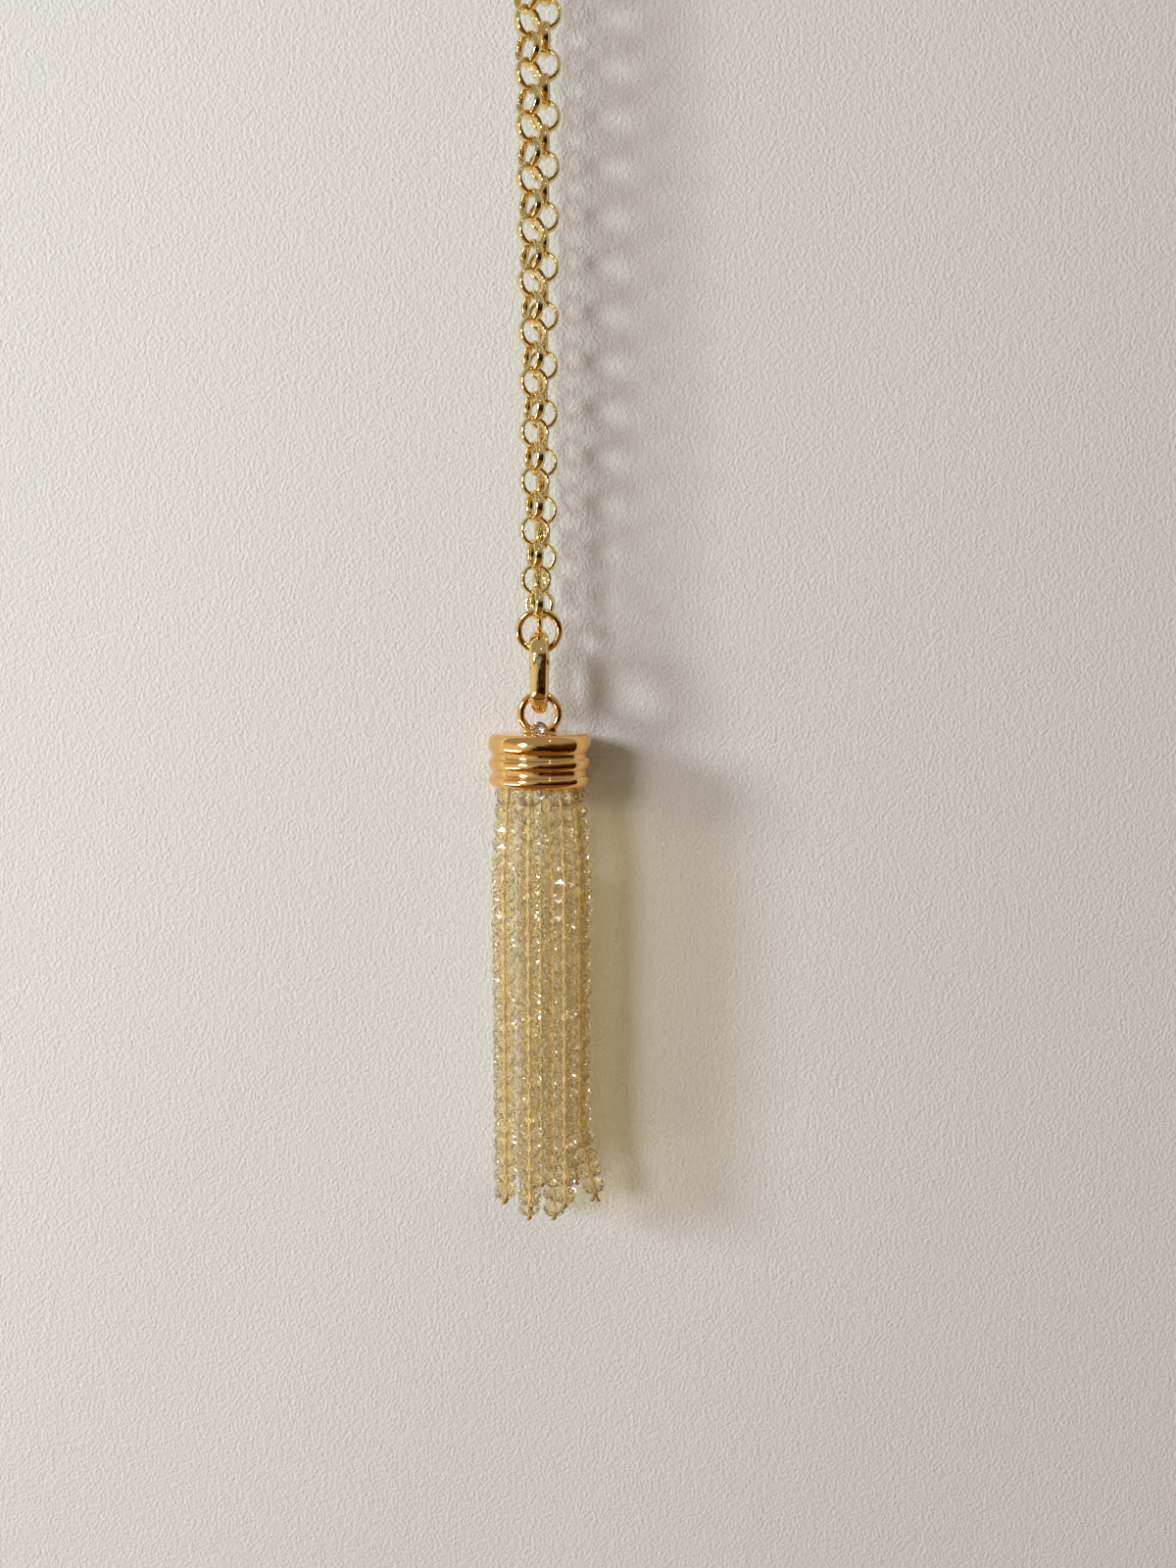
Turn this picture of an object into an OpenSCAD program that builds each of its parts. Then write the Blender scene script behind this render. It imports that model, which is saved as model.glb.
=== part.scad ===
// Tassel necklace. A long chain of round links hangs from the top of its loop. Its two runs
// end in an oval clasp, and the clasp carries a ribbed cap with strands of faceted beads.
// Millimetres, +Z up, the front towards -Y. The origin is the underside of the chain at the
// top of the loop, where the necklace hangs.

/* [Chain] */
// Number of links in the whole loop, an even count
link_count = 210; // [120:2:230]
// Outer diameter of a round link
link_od = 4.45; // [4.2:0.05:4.7]
// Thickness of a link's band, from its hole outwards
link_wall = 0.38; // [0.34:0.02:0.42]
// Width of a link's band
link_band = 1.35; // [1.1:0.05:1.4]
// Play between two links that hang in each other
link_play = 0.32; // [0.28:0.02:0.4]
// Radius of the rounded top of the loop, to the middle of the chain
top_radius = 16; // [15:0.5:30]
// Play where one piece hangs in another
hang_play = 0.3; // [0.2:0.05:0.4]

/* [End ring] */
// Outer diameter of the ring that closes the chain's front run
ring_od = 6.8; // [6.6:0.1:8]
// Wire diameter of the ring
ring_wire = 1; // [0.8:0.05:1.1]
// Forward lean of the ring, in degrees
ring_lean = 14; // [8:1:18]

/* [Clasp] */
// Height of the oval clasp
clasp_height = 12; // [11:0.5:16]
// Depth of the clasp, from front to back
clasp_depth = 8; // [7.8:0.1:9]
// Thickness of the clasp's band, from its hole outwards
clasp_wall = 2.1; // [2.1:0.05:2.2]
// Width of the clasp's band, as seen from the front
clasp_width = 2.6; // [2.3:0.1:2.8]
// Rounding along the edges of the clasp's band
clasp_round = 1.04; // [0.9:0.02:1.04]
// How far the gate opens outwards, in degrees
gate_open = 50; // [30:5:60]
// Angle round the lower arc at which the gate's tip ends
gate_tip_angle = 25; // [10:5:40]
// Distance of the hinge pin behind the middle of the band
hinge_inset = 0.1; // [0.08:0.01:0.15]
// Distance of the hinge pin below the middle of the upper arc
hinge_drop = 0.45; // [0.3:0.05:0.8]
// Diameter of the hinge pin
pin_d = 0.7; // [0.5:0.05:0.8]
// Diameter of the pin's head
pin_head_d = 1.2; // [1:0.1:1.5]
// Height of the pin's head above the clasp's side
pin_head_h = 0.3; // [0.15:0.05:0.4]
// Running gap round the pin and at the gate's seams
gate_gap = 0.1; // [0.06:0.02:0.14]
// Thickness of the gate's hinge tongue
tongue_t = 0.8; // [0.6:0.1:1]
// Hole of the small eye on top of the clasp
eye_hole = 2.2; // [2.2:0.05:2.4]
// Wire diameter of the eye
eye_wire = 0.8; // [0.7:0.05:0.9]
// Play of the chain's last link in the eye
eye_play = 0.6; // [0.5:0.05:0.7]

/* [Cap] */
// Outer diameter of the cap over its ribs
cap_od = 15; // [14:0.5:20]
// Height of the highest rib, with its rounded upper edge
first_rib_height = 2.75; // [2:0.05:3.2]
// Height of the middle rib
rib_height = 2.35; // [2:0.05:3]
// Height of the lowest rib
last_rib_height = 2.6; // [2:0.05:3.2]
// Depth of the grooves between the ribs
groove_depth = 0.5; // [0.3:0.05:0.6]
// Diameter of the cap's flat top
cap_flat_d = 13.2; // [12:0.2:13.4]
// Inner diameter of the cap's mouth
mouth_d = 11.8; // [11:0.2:12]
// Thickness of the cap's wall at a groove
cap_wall = 0.45; // [0.3:0.05:0.6]
// Thickness of the cap's top
cap_top_t = 0.8; // [0.6:0.1:1.2]
// Outer diameter of the round loop on the cap
loop_od = 6.6; // [6.4:0.1:7.6]
// Wire diameter of the loop
loop_wire = 1.15; // [0.9:0.05:1.2]
// How deep the loop is let into the cap's top
loop_sink = 0.4; // [0.2:0.05:0.6]
// Width of the loop's foot on the cap
foot_width = 4.8; // [3.4:0.2:5.4]
// Height of the loop's foot
foot_height = 0.8; // [0.5:0.1:1]

/* [Stone] */
// Diameter of the cut stone at the foot of the loop
stone_d = 1.8; // [1.5:0.05:1.9]
// Thickness of the collet that holds the stone
collet_wall = 0.16; // [0.12:0.02:0.24]
// Gap between the stone and its collet
stone_gap = 0.03; // [0.02:0.01:0.06]

/* [Tassel] */
// Diameter of a faceted bead
bead_d = 3.56; // [3.2:0.02:3.6]
// Distance from one bead to the next
bead_pitch = 2.44; // [2.4:0.02:2.6]
// Diameter of the thread's core between the beads
core_d = 0.9; // [0.7:0.05:1.2]
// Gap between the cap's rim and the first beads
rim_gap = 0.12; // [0.1:0.02:0.4]
// Thickness of the bound head inside the cap
head_t = 2.6; // [1.5:0.1:4]
// Gap between the bound head and the inside of the cap
head_gap = 0.3; // [0.2:0.05:0.5]
// Diameter of the knot below the last bead
knot_d = 1; // [0.9:0.1:1.6]

/* [Hidden] */
$fn = 72;
// Small overlap that fuses solids of one piece
FUSE = 0.05;
// A size that reaches past any solid that it cuts
PAST = 20;

// Section of a link's band: [share of the wall, share of the band's width]
LINK_SECTION = [
    [0, -0.22],
    [0.5, -0.5],
    [1, -0.25],
    [1, 0.25],
    [0.5, 0.5],
    [0, 0.22]
];
link_ri = link_od / 2 - link_wall;
pitch = 2 * link_ri - link_play;
arc_length = PI * top_radius;
run_length = ((link_count - 1) * pitch - arc_length) / 2;
// Height of the middle of each run's last link
end_z = link_od / 2 - top_radius - run_length;

// Route of the front run: [height above its last link, sideways, depth]
FRONT_ROUTE = [
    [0, -0.3, -1.83],
    [6, -0.48, -2.3],
    [28, -0.5, -2.3],
    [60, -0.9, -2.25],
    [90, -1.25, -2.2],
    [130, -3, -2.1],
    [190, -6.6, -1.3],
    [260, -11.1, -0.6],
    [300, -13.8, -0.2],
    [run_length, -top_radius, 0]
];
// Route of the back run: [height above its last link, sideways, depth]
BACK_ROUTE = [
    [0, 0.05, 1.6],
    [6, 0.4, 2.2],
    [28, 0.5, 2.2],
    [60, 0.85, 2.15],
    [90, 1.25, 2.1],
    [130, 3, 2],
    [190, 6.6, 1.3],
    [260, 11.1, 0.6],
    [300, 13.8, 0.2],
    [run_length, top_radius, 0]
];
// Length of chain over which the back run's twist comes in
END_TWIST_LENGTH = 24;
// Slow twist of the chain along the loop: [distance along the chain, degrees]
TWIST = [
    [0, 16],
    [8, 20],
    [21, 30],
    [82, 45],
    [150, 45],
    [run_length, 0],
    [2 * run_length + arc_length - END_TWIST_LENGTH, 0],
    [2 * run_length + arc_length, 20]
];

function column(table, n) = [for (row = table) [row[0], row[n]]];
function route_x(table, up) = lookup(up, column(table, 1));
function route_y(table, up) = lookup(up, column(table, 2));
function front_point(s) = [route_x(FRONT_ROUTE, s), route_y(FRONT_ROUTE, s), end_z + s];
function back_point(s) = [route_x(BACK_ROUTE, s), route_y(BACK_ROUTE, s), end_z + s];
function arc_point(turn) = [
    -top_radius * cos(turn),
    0,
    end_z + run_length + top_radius * sin(turn)
];
// Point of the chain's centreline at the distance s from the front run's last link
function chain_point(s) =
    s < run_length ? front_point(s) :
    s < run_length + arc_length ? arc_point(180 * (s - run_length) / arc_length) :
    back_point(2 * run_length + arc_length - s);

module link_ring() {
    rotate_extrude()
        polygon([for (row = LINK_SECTION) [link_ri + row[0] * link_wall, row[1] * link_band]]);
}

// Link number i, turned a quarter from its neighbours and laid along the chain
module chain_link(i) {
    s = i * pitch;
    along = chain_point(s + pitch / 2) - chain_point(s - pitch / 2);
    lean = atan2(along.x, along.z);
    tip = -asin(along.y / norm(along));
    quarter = i % 2 == 0 ? 90 : 0;
    translate(chain_point(s))
        rotate([0, lean, 0])
        rotate([tip, 0, 0])
        rotate([90, 0, quarter + lookup(s, TWIST)])
        link_ring();
}

module chain_front() {
    color("goldenrod")
        for (i = [0 : link_count / 2 - 1])
            chain_link(i);
}

module chain_back() {
    color("goldenrod")
        for (i = [link_count / 2 : link_count - 1])
            chain_link(i);
}

module torus(mid_r, wire) {
    rotate_extrude()
        translate([mid_r, 0])
        circle(d = wire);
}

// The end ring hangs in the front run's last link
ring_mid_r = (ring_od - ring_wire) / 2;
ring_top_z = end_z - (link_ri - hang_play - ring_wire / 2);
ring_z = ring_top_z - ring_mid_r * cos(ring_lean);
ring_y = FRONT_ROUTE[0][2] + ring_mid_r * sin(ring_lean);
ring_bottom_z = ring_z - ring_mid_r * cos(ring_lean);

module end_ring() {
    color("gold")
        translate([0, ring_y, ring_z])
        rotate([90 + ring_lean, 0, 0])
        torus(ring_mid_r, ring_wire);
}

// The clasp hangs on the ring: heights of its upper arch, arcs and lower bar
arch_under_z = ring_bottom_z + ring_wire / 2 + hang_play;
clasp_top_z = arch_under_z + clasp_wall;
clasp_r = clasp_depth / 2;
clasp_mid_r = clasp_r - clasp_wall / 2;
clasp_straight = clasp_height - clasp_depth;
clasp_z = clasp_top_z - clasp_height / 2;
clasp_bottom_bar_z = clasp_top_z - clasp_height + clasp_wall;

// Hinge of the gate, in the clasp's own plane: x towards the back, y up
hinge_x = -clasp_mid_r + hinge_inset;
hinge_y = clasp_straight / 2 - hinge_drop;
ear_r = clasp_r + hinge_x - gate_gap / 2;
// Reach of the relief that the gate's shoulder swings through, as a share of the ear's radius
RELIEF_REACH = 1.25;
// Extra swing that the relief leaves past the gate's own travel, in degrees
RELIEF_SWING = 15;

// Turns the clasp's plane, x and y, into the object's Y and Z
module in_clasp_plane() {
    translate([0, 0, clasp_z])
        rotate([90, 0, 90])
        children();
}

module rounded_section(w, h, r) {
    square([w - 2 * r, h], center = true);
    square([w, h - 2 * r], center = true);
    for (sx = [-1, 1], sy = [-1, 1])
        translate([sx * (w / 2 - r), sy * (h / 2 - r)])
            circle(r = r);
}

module band_section() {
    rounded_section(clasp_wall, clasp_width, clasp_round);
}

// The clasp's whole oval: two half rounds and two straight sides
module clasp_oval() {
    for (side = [-1, 1]) {
        translate([0, side * clasp_straight / 2, 0])
            rotate([0, 0, side < 0 ? 180 : 0])
            rotate_extrude(angle = 180)
            translate([clasp_mid_r, 0])
            band_section();
        translate([side * clasp_mid_r, clasp_straight / 2, 0])
            rotate([90, 0, 0])
            linear_extrude(clasp_straight)
            band_section();
    }
}

// Outline of the stretch of the oval that is the gate, grown by a gap at its tip
module gate_zone(grow) {
    tip = 180 + gate_tip_angle;
    shift = [sin(tip), -cos(tip)] * -grow;
    polygon([
        [0, -clasp_straight / 2] + shift,
        [PAST * cos(tip), -clasp_straight / 2 + PAST * sin(tip)] + shift,
        [-PAST, hinge_y],
        [0, hinge_y]
    ]);
}

module at_hinge() {
    translate([hinge_x, hinge_y])
        children();
}

module full_width() {
    translate([0, 0, -PAST / 2])
        linear_extrude(PAST)
        children();
}

// Where the gate's shoulder passes when the gate swings open
module hinge_relief() {
    at_hinge()
        intersection() {
            difference() {
                circle(r = RELIEF_REACH * ear_r);
                circle(r = ear_r);
            }
            polygon([
                [0, 0],
                [-PAST, 0],
                PAST * [-cos(gate_open + RELIEF_SWING), sin(gate_open + RELIEF_SWING)]
            ]);
        }
}

module clasp_eye() {
    eye_mid_r = (eye_hole + eye_wire) / 2;
    eye_y = BACK_ROUTE[0][2];
    eye_z = end_z - link_ri + eye_play + eye_wire / 2 - eye_mid_r;
    translate([0, eye_y, eye_z])
        rotate([0, 90, 0])
        torus(eye_mid_r, eye_wire);
    translate([0, eye_y, eye_z - eye_mid_r - eye_wire])
        cylinder(d = eye_wire, h = eye_wire);
}

module clasp_body() {
    color("gold") {
        in_clasp_plane() {
            difference() {
                intersection() {
                    clasp_oval();
                    union() {
                        difference() {
                            full_width() square(2 * PAST, center = true);
                            full_width() gate_zone(gate_gap);
                        }
                        full_width() at_hinge() circle(r = ear_r);
                    }
                }
                full_width() hinge_relief();
                at_hinge()
                    cylinder(r = ear_r + 2 * gate_gap, h = tongue_t + 2 * gate_gap, center = true);
            }
            at_hinge() {
                cylinder(d = pin_d, h = clasp_width, center = true);
                translate([0, 0, clasp_width / 2 - FUSE])
                    cylinder(d = pin_head_d, h = pin_head_h + FUSE);
            }
        }
        clasp_eye();
    }
}

module clasp_gate() {
    color("gold")
        in_clasp_plane()
        difference() {
            union() {
                difference() {
                    intersection() {
                        clasp_oval();
                        full_width() gate_zone(0);
                    }
                    full_width() at_hinge() circle(r = ear_r + gate_gap);
                }
                intersection() {
                    clasp_oval();
                    translate([0, 0, -tongue_t / 2])
                        linear_extrude(tongue_t)
                        union() {
                            gate_zone(0);
                            at_hinge() circle(r = ear_r);
                        }
                }
            }
            at_hinge() cylinder(d = pin_d + gate_gap, h = PAST, center = true);
        }
}

// The cap's loop hangs on the clasp's lower bar
loop_mid_r = (loop_od - loop_wire) / 2;
loop_z = clasp_bottom_bar_z + hang_play / 2 - (loop_od / 2 - loop_wire);
cap_top_z = loop_z - loop_od / 2 + loop_sink;
cap_r = cap_od / 2;
cap_height = first_rib_height + rib_height + last_rib_height;
cap_bottom_z = cap_top_z - cap_height;
groove_r = cap_r - groove_depth;
mouth_r = mouth_d / 2;
cavity_r = groove_r - cap_wall;
// Height of the thicker lip inside the mouth
lip_h = last_rib_height / 2;

// Points along one rib, from its upper edge to its lower one, as two quarter ellipses
RIB_STEP = 10;
RIB_CREST = 90;
function rib(top, height, r_top, r_bottom) = [
    for (t = [0 : RIB_STEP : 2 * RIB_CREST])
        let (r_end = t < RIB_CREST ? r_top : r_bottom)
        [r_end + (cap_r - r_end) * sin(t), top - height / 2 * (1 - cos(t))]
];

module cap_shell() {
    rib_2 = first_rib_height;
    rib_3 = first_rib_height + rib_height;
    difference() {
        rotate_extrude()
            polygon(concat(
                [[0, 0]],
                rib(0, first_rib_height, cap_flat_d / 2, groove_r),
                rib(-rib_2, rib_height, groove_r, groove_r),
                rib(-rib_3, last_rib_height, groove_r, mouth_r + cap_wall),
                [[0, -cap_height]]
            ));
        translate([0, 0, -cap_height - FUSE])
            cylinder(r = mouth_r, h = cap_height - cap_top_t + FUSE);
        translate([0, 0, -cap_height + lip_h])
            cylinder(r = cavity_r, h = cap_height - cap_top_t - lip_h);
    }
}

// Depths along the stone's axis, as shares of its diameter
STONE_CROWN = 0.15;
STONE_PAVILION = 0.4;
COLLET_DEPTH = 0.62;
GIRDLE_SET = 0.05;
collet_r = stone_d / 2 + stone_gap + collet_wall;
collet_depth = COLLET_DEPTH * stone_d;
collet_bore = (STONE_PAVILION + GIRDLE_SET) * stone_d + 2 * stone_gap;
stone_y = -(loop_wire / 2 + collet_depth - FUSE);

// Places what follows on the cap's top, with its axis towards the front
module at_stone() {
    translate([0, stone_y, cap_top_z + collet_r - FUSE])
        rotate([90, 0, 0])
        children();
}

module collet() {
    at_stone()
        difference() {
            translate([0, 0, -collet_depth])
                cylinder(r = collet_r, h = collet_depth);
            translate([0, 0, -collet_bore])
                cylinder(r = stone_d / 2 + stone_gap, h = PAST);
        }
}

module cap() {
    color("gold") {
        translate([0, 0, cap_top_z])
            cap_shell();
        translate([0, 0, loop_z])
            rotate([90, 0, 0])
            torus(loop_mid_r, loop_wire);
        intersection() {
            translate([-foot_width / 2, -loop_wire / 2, cap_top_z - FUSE])
                cube([foot_width, loop_wire, foot_height + FUSE]);
            translate([0, 0, loop_z])
                rotate([90, 0, 0])
                difference() {
                    cylinder(r = loop_od, h = PAST, center = true);
                    cylinder(r = loop_mid_r, h = 2 * PAST, center = true);
                }
        }
        collet();
    }
}

// Facets round the cut stone, and its table and culet as shares of its diameter
STONE_SIDES = 8;
STONE_TABLE = 0.56;
STONE_CULET = 0.06;
function stone_ring(share, depth, turn) = [
    for (k = [0 : STONE_SIDES - 1])
        let (a = 360 * k / STONE_SIDES + turn)
        [stone_d / 2 * share * cos(a), stone_d / 2 * share * sin(a), stone_d * depth]
];

module stone() {
    rows = 3;
    points = concat(
        stone_ring(STONE_CULET, -STONE_PAVILION, 0),
        stone_ring(1, 0, 0),
        stone_ring(STONE_TABLE, STONE_CROWN, 180 / STONE_SIDES)
    );
    sides = [
        for (row = [0 : rows - 2], k = [0 : STONE_SIDES - 1])
            let (
                n = (k + 1) % STONE_SIDES,
                low = row * STONE_SIDES,
                high = low + STONE_SIDES
            )
            each [[low + k, high + k, low + n], [low + n, high + k, high + n]]
    ];
    color("lavender")
        at_stone()
        translate([0, 0, -GIRDLE_SET * stone_d])
        polyhedron(
            points = points,
            faces = concat(
                sides,
                [[for (k = [0 : STONE_SIDES - 1]) k]],
                [[for (k = [STONE_SIDES - 1 : -1 : 0]) 2 * STONE_SIDES + k]]
            )
        );
}

// Strands of beads: [angle from the front, distance from the axis at the mouth, where it
// hangs and at its end as shares of the mouth's radius, first bead's level, beads, beads in
// the spread, beads in the flare]
STRANDS = [
    [-62, 0.865, 1, 1, 0, 25, 5, 0],
    [-15, 0.865, 0.965, 0.965, 0, 25, 5, 0],
    [37, 0.865, 1.015, 1.015, 0, 25, 5, 0],
    [80, 0.865, 1, 1.39, 0, 25, 5, 4],
    [122, 0.865, 1.015, 1.015, 0, 25, 5, 0],
    [164, 0.865, 1.015, 1.015, 0, 25, 5, 0],
    [209, 0.865, 1.015, 1.015, 0, 25, 5, 0],
    [254, 0.865, 1, 1, 0, 26, 5, 0],
    [60, 0.27, 0.375, 0.375, 1.5, 25, 5, 0],
    [-60, 0.355, 0.355, 0.355, 4.5, 22, 5, 0],
    [180, 0.355, 0.355, 0.355, 5, 20, 5, 0]
];
BEAD_SIDES = 8;
// Radius of a bead at its drilled ends, as a share of its radius
BEAD_END = 0.5;
bead_r = bead_d / 2;
head_top = cap_top_z - cap_top_t - head_gap;
head_bottom = head_top - head_t;
first_bead_z = cap_bottom_z - rim_gap;

function strand_length(row) = row[5] * bead_pitch;
// Distance of a strand from the axis at the depth u below its first bead's top
function strand_radius(row, u) = mouth_r * lookup(u, [
    [0, row[1]],
    [row[6] * bead_pitch, row[2]],
    [strand_length(row) - row[7] * bead_pitch, row[2]],
    [strand_length(row), row[3]]
]);
function strand_top(row) = first_bead_z - row[4] * bead_pitch;
// Rings down a strand: [depth below its first bead's top, radius]
function strand_rings(row) = concat(
    [
        [strand_top(row) - head_bottom - FUSE, core_d / 2],
        [-FUSE, core_d / 2]
    ],
    [
        for (k = [0 : 2 * row[5]])
            [k * bead_pitch / 2, k % 2 == 0 ? bead_r * BEAD_END : bead_r]
    ]
);

// One strand as a single swept solid, each bead two rows of facets
module strand(row) {
    rings = strand_rings(row);
    last = len(rings) - 1;
    points = [
        for (ring = rings, k = [0 : BEAD_SIDES - 1])
            let (a = 360 * k / BEAD_SIDES)
            [
                ring[1] * cos(a),
                ring[1] * sin(a) - strand_radius(row, ring[0]),
                strand_top(row) - ring[0]
            ]
    ];
    sides = [
        for (j = [0 : last - 1], k = [0 : BEAD_SIDES - 1])
            let (
                n = (k + 1) % BEAD_SIDES,
                upper = j * BEAD_SIDES,
                lower = upper + BEAD_SIDES
            )
            each [[upper + k, upper + n, lower + k], [upper + n, lower + n, lower + k]]
    ];
    rotate([0, 0, row[0]])
        polyhedron(
            points = points,
            faces = concat(
                sides,
                [[for (k = [BEAD_SIDES - 1 : -1 : 0]) k]],
                [[for (k = [0 : BEAD_SIDES - 1]) last * BEAD_SIDES + k]]
            )
        );
}

// Knot below a strand's last bead, with its short tail of thread
module knot(row) {
    rotate([0, 0, row[0]])
        translate([0, -mouth_r * row[3], strand_top(row) - strand_length(row)])
        hull() {
            cylinder(d = knot_d, h = knot_d, center = true, $fn = 8);
            translate([0, 0, -knot_d])
                cylinder(d = core_d, h = FUSE, $fn = 8);
        }
}

module bead_tassel() {
    color("wheat")
        union() {
            translate([0, 0, head_bottom])
                cylinder(r = mouth_r - head_gap, h = head_t, $fn = 32);
            for (row = STRANDS) {
                strand(row);
                knot(row);
            }
        }
}

chain_front();
chain_back();
end_ring();
clasp_body();
clasp_gate();
cap();
stone();
bead_tassel();
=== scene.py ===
"""Tassel necklace: the looks of the chain, clasp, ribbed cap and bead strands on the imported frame.

Shapes are worked out in millimetres, as in the part's source, and turned to metres in one place.
"""

import math
import random
from collections import namedtuple

import bmesh
import bpy
from mathutils import Euler, Matrix, Vector


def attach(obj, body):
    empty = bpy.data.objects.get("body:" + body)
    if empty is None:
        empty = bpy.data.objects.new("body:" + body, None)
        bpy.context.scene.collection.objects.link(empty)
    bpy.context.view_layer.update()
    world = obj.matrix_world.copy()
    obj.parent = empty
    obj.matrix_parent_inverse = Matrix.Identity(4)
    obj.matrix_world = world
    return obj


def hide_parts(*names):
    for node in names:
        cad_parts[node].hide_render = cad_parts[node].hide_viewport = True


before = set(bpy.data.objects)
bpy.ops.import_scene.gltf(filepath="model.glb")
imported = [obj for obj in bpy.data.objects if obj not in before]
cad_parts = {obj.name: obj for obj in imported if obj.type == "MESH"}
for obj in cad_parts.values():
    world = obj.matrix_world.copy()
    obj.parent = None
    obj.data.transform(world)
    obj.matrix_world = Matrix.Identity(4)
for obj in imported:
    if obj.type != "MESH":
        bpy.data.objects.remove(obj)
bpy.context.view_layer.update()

MM = 0.001
RNG_SEED = 7

# Sizes shared with the part's source, in millimetres and degrees

LINK_COUNT = 210
LINK_OD = 4.45
LINK_WALL = 0.38
LINK_BAND = 1.35
LINK_PLAY = 0.32
TOP_RADIUS = 16
HANG_PLAY = 0.3
RING_OD = 6.8
RING_WIRE = 1
RING_LEAN = 14
CLASP_HEIGHT = 12
CLASP_DEPTH = 8
CLASP_WALL = 2.1
CLASP_WIDTH = 2.6
HINGE_INSET = 0.1
HINGE_DROP = 0.45
GATE_TIP_ANGLE = 25
GATE_GAP = 0.1
PIN_D = 0.7
PIN_HEAD_D = 1.2
PIN_HEAD_H = 0.3
TONGUE_T = 0.8
EYE_HOLE = 2.2
EYE_WIRE = 0.8
EYE_PLAY = 0.6
CAP_OD = 15
FIRST_RIB_HEIGHT = 2.75
RIB_HEIGHT = 2.35
LAST_RIB_HEIGHT = 2.6
GROOVE_DEPTH = 0.5
CAP_FLAT_D = 13.2
MOUTH_D = 11.8
CAP_WALL = 0.45
CAP_TOP_T = 0.8
LOOP_OD = 6.6
LOOP_WIRE = 1.15
LOOP_SINK = 0.4
FOOT_WIDTH = 4.8
FOOT_HEIGHT = 0.8
STONE_D = 1.8
COLLET_WALL = 0.16
STONE_GAP = 0.03
BEAD_D = 3.56
BEAD_PITCH = 2.44
RIM_GAP = 0.12
HEAD_T = 2.6
HEAD_GAP = 0.3

# Rows of [way up from the last link, sideways, depth]
SIDEWAYS = 1
DEPTH = 2
FRONT_ROUTE = [
    (0, -0.3, -1.83), (6, -0.48, -2.3), (28, -0.5, -2.3), (60, -0.9, -2.25), (90, -1.25, -2.2),
    (130, -3, -2.1), (190, -6.6, -1.3), (260, -11.1, -0.6), (300, -13.8, -0.2),
]
BACK_ROUTE = [
    (0, 0.05, 1.6), (6, 0.4, 2.2), (28, 0.5, 2.2), (60, 0.85, 2.15), (90, 1.25, 2.1),
    (130, 3, 2), (190, 6.6, 1.3), (260, 11.1, 0.6), (300, 13.8, 0.2),
]
# A strand's angle from the front, its distance from the axis at the mouth, where it hangs and at
# its end as shares of the mouth's radius, its first bead's level, its number of beads, and how
# many of them lie in its spread at the top and in its flare at the end
Strand = namedtuple("Strand", "angle mouth hang end level beads spread flare")
STRANDS = [Strand(*row) for row in (
    (-62, 0.865, 1, 1, 0, 25, 5, 0),
    (-15, 0.865, 0.965, 0.965, 0, 25, 5, 0),
    (37, 0.865, 1.015, 1.015, 0, 25, 5, 0),
    (80, 0.865, 1, 1.39, 0, 25, 5, 4),
    (122, 0.865, 1.015, 1.015, 0, 25, 5, 0),
    (164, 0.865, 1.015, 1.015, 0, 25, 5, 0),
    (209, 0.865, 1.015, 1.015, 0, 25, 5, 0),
    (254, 0.865, 1, 1, 0, 26, 5, 0),
    (60, 0.27, 0.375, 0.375, 1.5, 25, 5, 0),
    (-60, 0.355, 0.355, 0.355, 4.5, 22, 5, 0),
    (180, 0.355, 0.355, 0.355, 5, 20, 5, 0),
)]

# Places that follow from them

link_ri = LINK_OD / 2 - LINK_WALL
pitch = 2 * link_ri - LINK_PLAY
arc_length = math.pi * TOP_RADIUS
run_length = ((LINK_COUNT - 1) * pitch - arc_length) / 2
end_z = LINK_OD / 2 - TOP_RADIUS - run_length
chain_length = 2 * run_length + arc_length
# Rows of [way along the chain, how far its links are twisted about it, in degrees]
TWIST = [
    (0, 16), (8, 20), (21, 30), (82, 45), (150, 45), (run_length, 0), (chain_length - 24, 0),
    (chain_length, 20),
]
FRONT_ROUTE.append((run_length, -TOP_RADIUS, 0))
BACK_ROUTE.append((run_length, TOP_RADIUS, 0))

ring_mid_r = (RING_OD - RING_WIRE) / 2
lean_drop = ring_mid_r * math.cos(math.radians(RING_LEAN))
ring_z = end_z - (link_ri - HANG_PLAY - RING_WIRE / 2) - lean_drop
ring_y = FRONT_ROUTE[0][DEPTH] + ring_mid_r * math.sin(math.radians(RING_LEAN))
clasp_top_z = ring_z - lean_drop + RING_WIRE / 2 + HANG_PLAY + CLASP_WALL
clasp_z = clasp_top_z - CLASP_HEIGHT / 2
clasp_mid_r = CLASP_DEPTH / 2 - CLASP_WALL / 2
clasp_half = (CLASP_HEIGHT - CLASP_DEPTH) / 2
loop_mid_r = (LOOP_OD - LOOP_WIRE) / 2
loop_z = clasp_top_z - CLASP_HEIGHT + CLASP_WALL + HANG_PLAY / 2 - (LOOP_OD / 2 - LOOP_WIRE)
cap_top_z = loop_z - LOOP_OD / 2 + LOOP_SINK
cap_height = FIRST_RIB_HEIGHT + RIB_HEIGHT + LAST_RIB_HEIGHT
cap_bottom_z = cap_top_z - cap_height
head_top = cap_top_z - CAP_TOP_T - HEAD_GAP
head_bottom = head_top - HEAD_T
first_bead_z = cap_bottom_z - RIM_GAP


def lookup(x, rows, column=1):
    """The value of a column at x, straight between the rows and level past them."""
    if x <= rows[0][0]:
        return rows[0][column]
    for a, b in zip(rows, rows[1:]):
        if x <= b[0]:
            return a[column] + (b[column] - a[column]) * (x - a[0]) / (b[0] - a[0])
    return rows[-1][column]


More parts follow.
